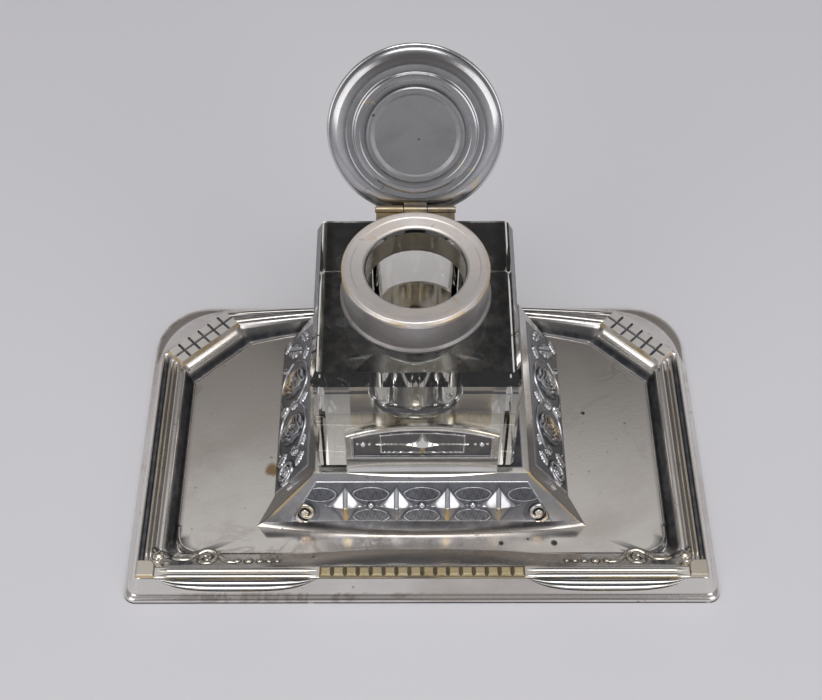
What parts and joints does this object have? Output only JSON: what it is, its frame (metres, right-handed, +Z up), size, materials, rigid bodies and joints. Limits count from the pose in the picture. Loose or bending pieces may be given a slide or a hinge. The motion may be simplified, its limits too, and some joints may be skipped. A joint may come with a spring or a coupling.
{
  "type": "desk inkstand",
  "caption": "Silver plated desk inkstand: rectangular tray with cut rear corners, raised plinth with relief bands, loose square glass ink block, hinged round metal lid.",
  "frame": {"origin": "on the table under the middle of the tray", "axes": "+X along the tray to the viewer's right, +Y towards the back where the lid is hinged, +Z up"},
  "size_m": [0.21, 0.131, 0.1414],
  "materials": {
    "silver_plate": "silver plate over base metal, softly polished, tarnished",
    "oxidised_plate": "silver plate darkened in the recesses, bright on the raised parts",
    "worn_plate": "plate worn through to yellow metal on the edges",
    "clear_glass": "clear pressed glass with chamfered edges, polished",
    "cement": "plaster cement, dull"
  },
  "bodies": {
    "stand": {"tray": "silver_plate", "left_reeding": "oxidised_plate", "right_reeding": "oxidised_plate", "rear_moulding": "silver_plate", "left_corner_block": "worn_plate", "right_corner_block": "worn_plate", "left_corner_pad": "worn_plate", "right_corner_pad": "worn_plate", "front_bead_strip": "worn_plate", "left_boat_moulding": "silver_plate", "right_boat_moulding": "silver_plate", "left_scroll": "silver_plate", "right_scroll": "silver_plate", "plinth": "silver_plate", "star_band": "oxidised_plate", "left_rose_band": "oxidised_plate", "right_rose_band": "oxidised_plate", "front_gallery": "silver_plate", "rear_gallery": "silver_plate"},
    "inkwell": {"glass_block": "clear_glass", "collar": "silver_plate", "collar_cement": "cement", "hinge_leaf": "silver_plate", "hinge_pin": "worn_plate"},
    "lid": {"lid_pan": "silver_plate", "lid_disc": "oxidised_plate", "lid_dome": "silver_plate", "lid_knuckle": "silver_plate"}
  },
  "joints": [
    {"name": "inkwell_lift", "type": "slide", "parent": "stand", "child": "inkwell", "axis": [0, 0, 1], "range_m": [0, 0.06]},
    {"name": "lid_hinge", "type": "hinge", "parent": "inkwell", "child": "lid", "pos_m": [-0.0023, 0.0348, 0.0942], "axis": [1, 0, 0], "range_deg": [0, 117]}
  ]
}
